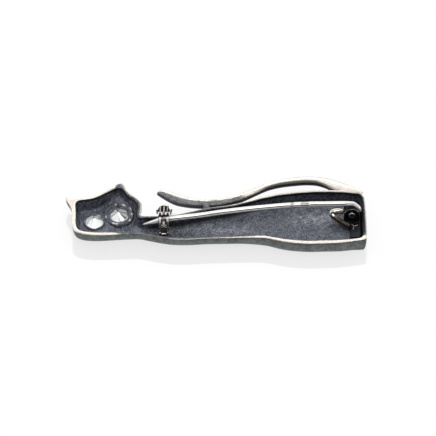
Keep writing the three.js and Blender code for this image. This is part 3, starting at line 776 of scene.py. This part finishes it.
# solder bead between tail and back
bm = bmesh.new()
bmesh.ops.create_icosphere(bm, subdivisions=5, radius=1.0)
for vert in bm.verts:
    x, y, z = vert.co
    k = 1 + 0.09 * wob(x, y, z, 1.7, 6) + 0.05 * wob(x, y, z, 4.0, 7)
    vert.co = Vector((-1.85 + 0.68 * x * k, 1.02 + 0.62 * y * k, 3.12 + 0.5 * z * k)) * MM
for face in bm.faces:
    face.smooth = True
me = bpy.data.meshes.new("tail_solder")
bm.to_mesh(me)
bm.free()
bead = bpy.data.objects.new("tail_solder", me)
bpy.context.scene.collection.objects.link(bead)
# painted highlight on the top of the bead, painted shade on its front and underside
set_attr(bead, "polish_and_highlight", lambda co, no: 0.12 + 0.12 * ss(no[:, 2], 0.3, 0.9))
set_attr(bead, "shade_and_patina", lambda co, no: ss(-no[:, 1] - no[:, 2], -0.3, 0.8))
dress(bead, "shell", TAIL_MAT, "oxidised_silver", "tail_solder_bead")

# ------------------------------------------------------------------ eyes
r0 = STONE_R + 0.06
ring_l = lathe("eye_setting_left", [(r0, 0.75), (r0, 1.12), (r0 + 0.04, 1.22), (r0 + 0.12, 1.27), (r0 + 0.22, 1.22),
                                    (r0 + 0.32, 1.05), (r0 + 0.42, 0.9), (r0 + 0.42, 0.75)],
               (*EYE_L, 0), wobble=0.05, seed=2)
ring_r = lathe("eye_setting_right", [(r0, 0.7), (r0, 1.05), (r0 + 0.08, 1.18), (r0 + 0.3, 1.3), (r0 + 0.5, 1.5), (r0 + 0.64, 1.7),
                                     (r0 + 0.78, 1.78), (r0 + 0.92, 1.7), (r0 + 1.04, 1.45), (r0 + 1.12, 1.15), (r0 + 1.18, 0.9), (r0 + 1.18, 0.7)],
               (*EYE_R, 0), sides=110, wobble=0.0, seed=5)
for v in ring_r.data.vertices:                                # hand-worked solder: uneven crest and outline
    x, y, z = v.co / MM
    a, r = math.atan2(y - EYE_R[1], x - EYE_R[0]), math.hypot(x - EYE_R[0], y - EYE_R[1])
    k = float(ss(r, r0 + 0.15, r0 + 0.6))
    n1 = wob(math.cos(a) * 1.6, math.sin(a) * 1.6, 0.0, 1.0, 5)
    n2 = wob(math.cos(a) * 5, math.sin(a) * 5, r, 1.0, 6)
    r += k * (0.22 * n1 + 0.1 * n2 - 0.4 * min(0.0, math.sin(a)))
    z += k * (0.35 * n1 + 0.2 * n2) * float(ss(z, 0.95, 1.4))
    v.co = Vector((EYE_R[0] + r * math.cos(a), EYE_R[1] + r * math.sin(a), z)) * MM


def crest_polish(c, amount, low, high):
    def fn(co, no):
        a = np.arctan2(co[:, 1] - c[1], co[:, 0] - c[0])
        patch = np.array([wob(math.cos(t) * 3, math.sin(t) * 3, z, 1.2, 9) for t, z in zip(a, co[:, 2])])
        return 0.06 + amount * ss(co[:, 2], low, high) * np.clip(0.6 + 1.5 * patch, 0.15, 1.6)
    return fn


set_attr(ring_l, "polish_and_highlight", crest_polish(EYE_L, 0.45, 1.1, 1.25))
set_attr(ring_r, "polish_and_highlight", crest_polish(EYE_R, 0.48, 1.15, 1.75))
dress(ring_l, "shell", CAST, "oxidised_silver", "eye_collar_left")
dress(ring_r, "shell", CAST, "oxidised_silver", "eye_collar_right")


def brilliant(name, centre, painted_facet_tones, tilt=(0.0, 0.0), turn=0.0):
    """A round brilliant with its pavilion up: 8 mains, 16 halves, girdle, 16 upper girdle facets, 8 kites, 8 stars, table."""
    R = STONE_R
    zg0, zg1 = 1.04, 1.12             # girdle, crown side and pavilion side
    ztab, rtab = 0.5, 0.56 * R
    zcul = zg1 + 1.05
    V, F = [], []

    def pt(r, a, z):
        V.append((r * math.cos(a), r * math.sin(a), z))
        return len(V) - 1
    st = math.pi / 8
    g0 = [pt(R, i * st, zg0) for i in range(16)]
    g1 = [pt(R, i * st, zg1) for i in range(16)]
    for i in range(16):
        j = (i + 1) % 16
        F.append((g0[i], g0[j], g1[j], g1[i]))
    # pavilion: mains meet the girdle at even points, halves between
    rl, zl = 0.22 * R, zg1 + (zcul - zg1) * 0.80
    low = [pt(rl, (2 * i + 1) * st, zl) for i in range(8)]
    cul = pt(0.0, 0.0, zcul)
    for i in range(8):
        a, b, c = g1[(2 * i) % 16], g1[(2 * i + 1) % 16], g1[(2 * i + 2) % 16]
        F += [(a, b, low[i]), (b, c, low[i])]
        F.append((low[i - 1], g1[2 * i], low[i], cul))
    # crown
    rk, zk = 0.80 * R, zg0 + (ztab - zg0) * 0.52
    tab = [pt(rtab, (2 * i) * st, ztab) for i in range(8)]
    kite = [pt(rk, (2 * i + 1) * st, zk) for i in range(8)]
    for i in range(8):
        j = (i + 1) % 8
        a, b, c = g0[2 * i], g0[2 * i + 1], g0[(2 * i + 2) % 16]
        F += [(b, a, kite[i]), (c, b, kite[i])]
        F.append((kite[i], tab[i], tab[j]))
        F.append((kite[i - 1], tab[i], kite[i], a))
    F.append(tuple(tab))
    rot = Matrix.Rotation(tilt[0], 3, "X") @ Matrix.Rotation(tilt[1], 3, "Y") @ Matrix.Rotation(turn, 3, "Z")
    mid = Vector((0, 0, 1.08))
    B = Build()
    B.add([rot @ (Vector(p) - mid) + mid + Vector((*centre, 0)) for p in V], F)
    ob = B.make(name, smooth=False)
    # the painted brightness of each face, read by the crystal material
    at = ob.data.attributes.new("painted_facet_light", "FLOAT", "FACE")
    vals = []
    for poly in ob.data.polygons:
        c = poly.center / MM
        n = poly.normal
        ang = (math.degrees(math.atan2(c.y - centre[1], c.x - centre[0])) + 360) % 360
        r = math.hypot(c.x - centre[0], c.y - centre[1])
        k = int(ang / 22.5) % 16
        inner, outer = painted_facet_tones
        vals.append(inner[k] if r < 0.6 * R and n.z > 0 else outer[k])
    at.data.foreach_set("value", vals)
    return ob


# painted light per 22.5 degrees round the stone, anticlockwise from +X: inner facets, then the ones at the girdle
stone_l = brilliant("crystal_left", EYE_L, ([0.7, 0.45, 0.8, 0.4, 0.02, 0.35, 0.75, 0.95, 0.7, 1.0, 0.6, 0.95, 0.8, 0.42, 0.9, 0.35],
                                           [0.9, 0.35, 0.9, 0.7, 1.0, 0.8, 0.3, 1.0, 0.45, 1.0, 0.6, 0.95, 0.5, 0.9, 0.3, 0.85]), turn=0.2)
stone_r = brilliant("crystal_right", EYE_R, ([0.3, 0.55, 0.25, 0.5, 0.3, 0.0, 0.2, 0.85, 0.6, 1.0, 0.9, 0.7, 0.95, 0.35, 0.1, 0.4],
                                            [0.3, 0.7, 0.4, 0.6, 0.3, 0.9, 0.5, 1.0, 0.6, 1.0, 0.8, 1.0, 0.6, 0.15, 0.0, 0.4]),
                    tilt=(0.05, -0.13), turn=0.35)
dress(stone_l, "shell", GLASS, "crystal", "eye_crystal_left")
dress(stone_r, "shell", GLASS, "crystal", "eye_crystal_right")

# ------------------------------------------------------------------ hinge
hx, hy, hz = HINGE
b_lo, b_hi = (np.array(c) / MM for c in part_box("hinge_base"))
base = prism("hinge_foot", [(b_lo[0], -1.2), (26.5, -1.25), (26.6, -1.7), (26.52, -3.4), (26.62, b_lo[1] + 0.1), (26.8, b_lo[1]), (b_hi[0] - 0.15, b_lo[1]),
                            (b_hi[0], b_lo[1] + 0.2), (b_hi[0], b_hi[1]), (b_lo[0], b_hi[1])],
             (0, 0, (b_lo[2] + b_hi[2]) / 2), (1, 0, 0), (0, 1, 0), b_hi[2] - b_lo[2], bevel=0.08)
dress(base, "shell", DARKS, "dark_findings", "hinge_base")
for i, (p0, p1, p2) in enumerate((((26.9, -1.75), (27.2, -2.15), (27.45, -2.5)), ((28.3, -2.05), (27.9, -2.3), (27.45, -2.5)),
                                  ((27.45, -2.45), (27.3, -2.9), (27.25, -3.4)))):
    seam = sweep(f"foot_seam_{i + 1}", crom([(*p0, b_hi[2] - 0.02), (*p1, b_hi[2] + 0.02), (*p2, b_hi[2] - 0.01)], 24),
                 np.interp(np.arange(24), [0, 6, 18, 23], [0.04, 0.1, 0.1, 0.04]), sides=14)
    # painted highlight on the tops of the seams
    set_attr(seam, "polish_and_highlight", lambda co, no: 0.15 + 0.4 * ss(no[:, 2], 0.2, 0.9))
    dress(seam, "shell", DARKS, "dark_findings", "hinge_base")


def cheek_outline(r, z0, n=28):
    arc = [(r * math.cos(t), r * math.sin(t)) for t in np.linspace(0, math.pi, n)]
    return [(-r + 0.12, z0), (r - 0.12, z0), (r, z0 + 0.12)] + arc + [(-r, z0 + 0.12)]


for side in ("near", "far"):
    lo, hi = (np.array(c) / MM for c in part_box("hinge_cheek_" + side))
    mid = (lo[1] + hi[1]) / 2
    ob = prism("cheek_" + side, cheek_outline((hi[0] - lo[0]) / 2, lo[2] - hz), (hx, mid, hz), (1, 0, 0), (0, 0, 1), hi[1] - lo[1],
               bevel=0.09, holes=[circle((0, 0), 0.5, 36)])
    dress(ob, "shell", DARKS, "dark_findings", "hinge_cheek_" + side)
    apply_modifiers(ob)
    # painted highlight: a thin bright arc along the top edge of the near cheek, on the faces that turn to the front
    set_attr(ob, "polish_and_highlight", lambda co, no, near=side == "near": 0.03 + near * 0.85 * ss(np.hypot(co[:, 0] - hx, co[:, 2] - hz), 1.4, 1.5) *
             ss(co[:, 2], hz - 0.4, hz + 0.4) * ss(-no[:, 1], 0.1, 0.6) * (1 - ss(-no[:, 1], 0.85, 0.98)))
    set_attr(ob, "shade_and_patina", plain(0.4))
apply_modifiers(base)
set_attr(base, "polish_and_highlight", lambda co, no: 0.05 + 0.0 * co[:, 0])

lo, hi = (np.array(c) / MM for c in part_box("hinge_rivet"))
y0, y1 = lo[1], hi[1]
rivet = lathe("rivet", [(0.02, y0 + 0.13), (0.2, y0 + 0.12), (0.34, y0 + 0.06), (0.44, y0 + 0.0), (0.56, y0 + 0.01), (0.67, y0 + 0.08),
                        (0.7, y0 + 0.17), (0.66, y0 + 0.25), (0.45, y0 + 0.26), (0.45, y1 - 0.26), (0.66, y1 - 0.25), (0.7, y1 - 0.17),
                        (0.67, y1 - 0.08), (0.56, y1 - 0.01), (0.44, y1), (0.34, y1 - 0.06), (0.2, y1 - 0.12), (0.02, y1 - 0.13)],
              (hx, 0, hz), axis="y", sides=48)
# painted highlight on the upper part of the rivet head's rim
set_attr(rivet, "polish_and_highlight", lambda co, no: 0.1 + 0.75 * ss(np.hypot(co[:, 0] - hx, co[:, 2] - hz), 0.36, 0.47) * ss(no[:, 2], -0.5, 0.5))
dress(rivet, "shell", DARKS, "bright_findings", "hinge_rivet")

# folded wire loop in front of the hinge
loop = crom([(25.15, 0.12, 2.9), (24.6, 0.08, 3.05), (23.8, 0.02, 3.08), (23.2, -0.1, 2.93), (23.02, -0.28, 2.65), (23.3, -0.6, 2.45), (23.9, -1.08, 2.22),
             (25.0, -1.95, 1.98), (26.55, -3.0, 1.88)], 70)
tongue = sweep("hinge_loop", loop, np.interp(np.arange(70), [0, 20, 32, 69], [0.55, 0.62, 0.54, 0.54]), sides=24)
# painted highlight on the top of the upper leg and a bright spot near the bend; painted shade on the lower leg
set_attr(tongue, "polish_and_highlight", lambda co, no: 0.05 + 0.62 * ss(no[:, 2], -0.1, 0.4) * ss(co[:, 2], 2.55, 2.9) + 0.5 * ss(no[:, 2], 0.35, 0.8) *
         ss(no[:, 1], 0.0, 0.4) * np.exp(-((co[:, 0] - 24.3) / 0.5) ** 2))
set_attr(tongue, "shade_and_patina", lambda co, no: 0.7 * (1 - ss(co[:, 2], 2.4, 2.9)) * (1 - 0.6 * ss(no[:, 2], 0.3, 0.9)))
dress(tongue, "shell", FINDING, "dark_findings", "hinge_tongue")

# ------------------------------------------------------------------ pin
slope = (hy - CATCH[1]) / (hx - CATCH[0])


def pin_y(x):
    return hy - slope * (hx - x)


line = [(-14.5, 3.7), (-11.55, 4.35), (-10.35, 4.55), (-8.75, 4.74), (-3.2, 5.05), (2.78, 5.6), (9.74, 5.92), (16.7, 5.95),
        (22.5, 5.5), (25.6, 5.22), (26.6, 5.14)]
pts = [(x, pin_y(x), z) for x, z in line]
for deg, r in ((82.5, 2.0), (70, 1.81), (57, 1.69), (44, 1.63), (32, 1.6), (18, 1.56), (3.7, 1.54)):
    a = math.radians(deg)
    pts.append((hx + r * math.cos(a), hy, hz + r * math.sin(a)))
path = crom(pts, 320)
s = np.concatenate([[0], np.cumsum(np.linalg.norm(np.diff(path, axis=0), axis=1))])
rad = np.where(path[:, 0] < -11.3, 0.52 * (0.1 + 0.9 * np.clip((path[:, 0] + 14.5) / 3.2, 0, 1) ** 0.8), 0.52)
rad = np.where(s > s[-1] - 4.2, 0.52 - 0.09 * ss(s, s[-1] - 4.2, s[-1] - 2.5), rad)
# two worn flats where the wire was struck
flat = np.exp(-((path[:, 0] - 15.1) / 0.42) ** 4) + np.exp(-((path[:, 0] - 17.7) / 0.85) ** 6)
squash = [(1 + 0.16 * f, 1 - 0.2 * f) for f in flat]
pin = sweep("pin_wire", path, rad, sides=44, squash=squash)
def pin_shade_and_marks(co, no):
    near = no[:, 1] < -0.2
    # painted reflection: a thin dark line along the near side of the wire; painted shade on the underside; the struck
    # flats are really darker
    dark_reflection_line = 1.0 * np.exp(-((no[:, 2] - 0.47) / 0.15) ** 4) * near * ss(co[:, 0], -11.0, -9.5) * (1 - ss(co[:, 0], 25.5, 26.5))
    struck = (np.exp(-((co[:, 0] - 15.1) / 0.45) ** 4) + np.exp(-((co[:, 0] - 17.7) / 0.9) ** 6)) * ss(no[:, 2], 0.2, 0.5) * near
    return np.clip(dark_reflection_line + 0.75 * struck + ss(-no[:, 2], 0.28, 0.42), 0, 1)


set_attr(pin, "shade_and_patina", pin_shade_and_marks)
# buffed all along, the struck flats less; the underside is dimmed, a painted shade
set_attr(pin, "polish_and_highlight", lambda co, no: 0.82 - 0.35 * (np.exp(-((co[:, 0] - 15.1) / 0.5) ** 4) + np.exp(-((co[:, 0] - 17.7) / 0.95) ** 6)) *
         ss(no[:, 2], 0.0, 0.6) - 0.8 * (1 - ss(no[:, 2], -0.45, -0.3)))
dress(pin, "pin", WIRE, "pin_wire", "pin_stem")
t = 0.43
eye = lathe("pin_eye", [(0.5, -t + 0.05), (0.56, -t), (1.36, -t), (1.46, -t + 0.04), (1.5, -t + 0.14), (1.5, t - 0.14), (1.46, t - 0.04),
                        (1.36, t), (0.56, t), (0.5, t - 0.05)], (hx, hy, hz), axis="y", sides=64)
set_attr(eye, "polish_and_highlight", lambda co, no: 0.08 + 0.0 * co[:, 0])
dress(eye, "pin", DARKS, "pin_wire")

# ------------------------------------------------------------------ catch
cx, cy, cz = CATCH


def c_ring(name, x, length, r_out, r_in, slot, bevel=0.07):
    a0, a1 = math.asin(slot / 2 / r_out), math.asin(slot / 2 / r_in)
    out = [(r_out * math.cos(t), r_out * math.sin(t)) for t in np.linspace(math.pi / 2 + a0, math.pi * 2.5 - a0, 60)]
    inn = [(r_in * math.cos(t), r_in * math.sin(t)) for t in np.linspace(math.pi * 2.5 - a1, math.pi / 2 + a1, 44)]
    return prism(name, out + inn, (x, cy, cz), (0, 1, 0), (0, 0, 1), length, bevel=bevel, segments=3)


def edge_wear_and_highlight(amount, base_value=0.12):
    def fn(co, no):
        r = np.hypot(co[:, 1] - cy, co[:, 2] - cz)
        facing = np.abs(no).max(1)
        # the edges are buffed by wear; the faces that turn up get a painted highlight
        return base_value + amount * (1 - ss(facing, 0.86, 0.99)) + 0.25 * ss(no[:, 2], 0.5, 0.95)
    return fn


def catch_shade_and_patina(co, no):
    r = np.hypot(co[:, 1] - cy, co[:, 2] - cz)
    blot = np.array([wob(p[0], p[1], p[2], 3.2, 4) for p in co])
    # painted shade on the sides, the underside and the inside of the rings; random dark blots of patina
    return np.clip(0.9 * ss(np.abs(no[:, 0]), 0.5, 0.95) + 0.6 * ss(-no[:, 2], 0.5, 0.9) + (r < 1.1) * 0.75 + 1.1 * np.clip(blot, 0, 1), 0, 1)


for side, dx in (("left", -0.72), ("right", 0.72)):
    ob = c_ring("catch_cheek_" + side, cx + dx * 1.05, 0.46, 1.5, 1.07, 1.12)
    apply_modifiers(ob)
    set_attr(ob, "polish_and_highlight", edge_wear_and_highlight(0.4, 0.16 if side == "right" else 0.26))
    set_attr(ob, "shade_and_patina", catch_shade_and_patina)
    dress(ob, "shell", BAND, "bright_findings", "catch_ring_" + side)
sleeve = c_ring("rotor_sleeve", cx, 2.16, 1.0, 0.67, 1.06, bevel=0.05)
collar = c_ring("rotor_collar", cx, 0.54, 1.47, 0.99, 1.06, bevel=0.08)
for ob in (sleeve, collar):
    apply_modifiers(ob)
    # painted highlight on the outer faces that turn to the front and on the tops; painted shade on the sides of the
    # collar
    set_attr(ob, "polish_and_highlight", lambda co, no: 0.18 + 0.75 * ss(-no[:, 1], 0.75, 0.98) * ss(np.hypot(co[:, 1] - cy, co[:, 2] - cz), 1.2, 1.4) + 0.2 * ss(no[:, 2], 0.5, 0.9))
    set_attr(ob, "shade_and_patina", catch_shade_and_patina if ob is sleeve else lambda co, no: 0.9 * ss(np.abs(no[:, 0]), 0.5, 0.95))
    dress(ob, "catch", BAND, "bright_findings", "catch_rotor")

# fluted thumb tab: ribs that fan out over the rings and end in beads, on a thin web
tab_dir = Vector((0, math.sqrt(0.5), math.sqrt(0.5)))
tab_x = Vector((1, 0, 0))
tab_n = tab_x.cross(tab_dir)
TAB_C, TAB_R = 1.66, 1.24


def tab_point(u, r, h=0.0):
    return tuple(Vector(CATCH) + tab_x * u + tab_dir * r + tab_n * h)


web = []
for a in np.radians(np.linspace(98, -98, 61)):
    web.append((TAB_R * math.sin(a), TAB_C + (TAB_R - 0.04) * math.cos(a)))
ob = prism("tab_web", [(-0.3, 1.46), (0.3, 1.46), (0.3, 1.56), (1.12, 1.56)] + web + [(-1.12, 1.56), (-0.3, 1.56)], CATCH, tab_x, tab_dir, 0.2,
           bevel=0.04)
apply_modifiers(ob)
set_attr(ob, "polish_and_highlight", plain(0.08))
set_attr(ob, "shade_and_patina", plain(0.75))
dress(ob, "catch", BRIGHT, "bright_findings", "catch_tab")
ribs = [((-1.3, 1.25), (-1.36, 1.9), 0.19), ((-0.72, 1.64), (-0.68, 2.58), 0.2), ((0.0, 1.5), (0.06, 2.66), 0.22),
        ((0.66, 1.64), (0.78, 2.72), 0.2), ((1.32, 1.1), (1.52, 2.02), 0.19)]
for i, (a0, a1, r) in enumerate(ribs):
    cen = np.array([tab_point(a0[0] + (a1[0] - a0[0]) * k, a0[1] + (a1[1] - a0[1]) * k, 0.04) for k in np.linspace(0, 1, 40)])
    k = np.linspace(0, 1, 40)
    rad = r * (0.86 + 0.1 * np.cos(k * 2 * math.pi * 2.5)) + 0.05 * np.exp(-((k - 0.93) / 0.08) ** 2)
    ob = sweep(f"tab_rib_{i + 1}", cen, rad, sides=20)
    # painted highlight on the rib faces that turn to the front and up; painted shade on their sides
    set_attr(ob, "polish_and_highlight", lambda co, no, b=(0.3, 0.55, 0.6, 0.45, 0.25)[i]: 0.05 + b * ss(no[:, 2] * 0.7 - no[:, 1] * 0.7, 0.55, 0.95))
    set_attr(ob, "shade_and_patina", lambda co, no: ss(np.abs(no[:, 0]), 0.55, 0.95))
    dress(ob, "catch", BAND, "bright_findings", "catch_tab")

# post and strap
lo, hi = (np.array(c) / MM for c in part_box("catch_base"))
post = prism("catch_post", [(-1.0, lo[2]), (1.0, lo[2]), (1.0, lo[2] + 0.35), (0.62, lo[2] + 0.6), (0.55, cz - 1.9), (0.98, cz - 1.7), (0.98, cz - 1.56),
                            (-0.98, cz - 1.56), (-0.98, cz - 1.7), (-0.55, cz - 1.9), (-0.62, lo[2] + 0.6), (-1.0, lo[2] + 0.35)],
             (cx, cy, 0), (1, 0, 0), (0, 0, 1), 1.15, bevel=0.07)
strap = prism("catch_strap", [(cy + 0.3, lo[2]), (cy + 0.3, 1.45), (-6.6, 1.5), (-6.8, 1.7), (-6.83, 3.8), (-6.9, 3.9), (-7.1, 3.9), (-7.2, 3.8),
                              (-7.2, 1.45), (-6.9, lo[2] + 0.05), (-6.8, lo[2])],
              (cx, 0, 0), (0, 1, 0), (0, 0, 1), 0.9, bevel=0.08)
for ob in (post, strap):
    apply_modifiers(ob)
    set_attr(ob, "polish_and_highlight", edge_wear_and_highlight(0.5, 0.3))
    # painted shade on the sides and on the faces that turn to the front
    set_attr(ob, "shade_and_patina", lambda co, no: np.clip(0.95 * ss(np.abs(no[:, 0]), 0.5, 0.95) + 0.5 * ss(-no[:, 1], 0.5, 0.9), 0, 1))
    dress(ob, "shell", BRIGHT, "bright_findings", "catch_base")

# ------------------------------------------------------------------ stage, light, camera
bm = bmesh.new()
bmesh.ops.create_grid(bm, x_segments=8, y_segments=8, size=1.5)
me = bpy.data.meshes.new("floor")
bm.to_mesh(me)
bm.free()
floor = bpy.data.objects.new("floor", me)
floor.location = (0, 0, -0.00002)
bpy.context.scene.collection.objects.link(floor)
m = bpy.data.materials.new("pale_floor")
m.use_nodes = True
b = m.node_tree.nodes["Principled BSDF"]
b.inputs["Base Color"].default_value = (0.16, 0.16, 0.16, 1)
b.inputs["Roughness"].default_value = 0.05
b.inputs["IOR"].default_value = 2.2
b.inputs["Emission Color"].default_value = (1.0, 1.0, 1.0, 1)
b.inputs["Emission Strength"].default_value = 0.73
floor.data.materials.append(m)
floor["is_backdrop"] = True


def softbox(name, place, target, size, power, colour=(1, 1, 1)):
    d = bpy.data.lights.new(name, "AREA")
    d.shape, d.size, d.size_y, d.energy, d.color = "RECTANGLE", size[0], size[1], power, colour
    o = bpy.data.objects.new(name, d)
    o.location = place
    o.rotation_mode = "QUATERNION"
    o.rotation_quaternion = (Vector(target) - Vector(place)).to_track_quat("-Z", "Y")
    bpy.context.scene.collection.objects.link(o)
    return o


softbox("back_strip", (0.0, 0.55, 0.42), (0, 0, 0), (0.9, 0.05), 0.35)
softbox("left_strip", (-0.55, 0.1, 0.35), (0, 0, 0), (0.06, 0.5), 0.3)
softbox("top_box", (0.1, -0.25, 0.6), (0, 0, 0), (0.25, 0.18), 0.6)

world = bpy.data.worlds.new("studio")
bpy.context.scene.world = world
world.use_nodes = True
t = world.node_tree
bg = t.nodes["Background"]
g = t.nodes.new("ShaderNodeTexCoord")
sep = t.nodes.new("ShaderNodeSeparateXYZ")
t.links.new(g.outputs["Generated"], sep.inputs[0])
cr = t.nodes.new("ShaderNodeValToRGB")
stops = [(0.0, 0.8), (0.05, 0.75), (0.25, 0.8), (0.6, 0.95), (0.8, 1.0), (1.0, 1.1)]
cr.color_ramp.elements[0].position, cr.color_ramp.elements[1].position = stops[0][0], stops[-1][0]
cr.color_ramp.elements[0].color = (stops[0][1],) * 3 + (1,)
cr.color_ramp.elements[1].color = (stops[-1][1],) * 3 + (1,)
for pos, val in stops[1:-1]:
    cr.color_ramp.elements.new(pos).color = (val, val, val * 1.01, 1)
t.links.new(sep.outputs[2], cr.inputs[0])
# the room is dark on the near side, between the table and the overhead light
band = math_node(t, "MULTIPLY", ramp(t, sep.outputs[2], 0.03, 0.12), math_node(t, "SUBTRACT", 1.0, ramp(t, sep.outputs[2], 0.70, 0.86)))
band = math_node(t, "MULTIPLY", band, ramp(t, math_node(t, "MULTIPLY", sep.outputs[1], -1.0), 0.15, 0.5))
lift = math_node(t, "SUBTRACT", 1.0, math_node(t, "MULTIPLY", band, 0.94))
t.links.new(cr.outputs[0], bg.inputs[0])
t.links.new(lift, bg.inputs[1])

ELEV = math.radians(45)
cam_data = bpy.data.cameras.new("camera")
cam_data.lens, cam_data.sensor_width = 800, 36
cam = bpy.data.objects.new("camera", cam_data)
bpy.context.scene.collection.objects.link(cam)
target = Vector((0.4, -0.6, 1.8)) * MM
back = Vector((0, -math.cos(ELEV), math.sin(ELEV)))
cam.location = target + back * (0.0867 * 800 / 36)
cam.rotation_mode = "QUATERNION"
cam.rotation_quaternion = (-back).to_track_quat("-Z", "Y")
cam_data.clip_start, cam_data.clip_end = 0.01, 20
bpy.context.scene.camera = cam
bpy.context.scene.view_settings.view_transform = "Standard"

lo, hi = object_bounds()
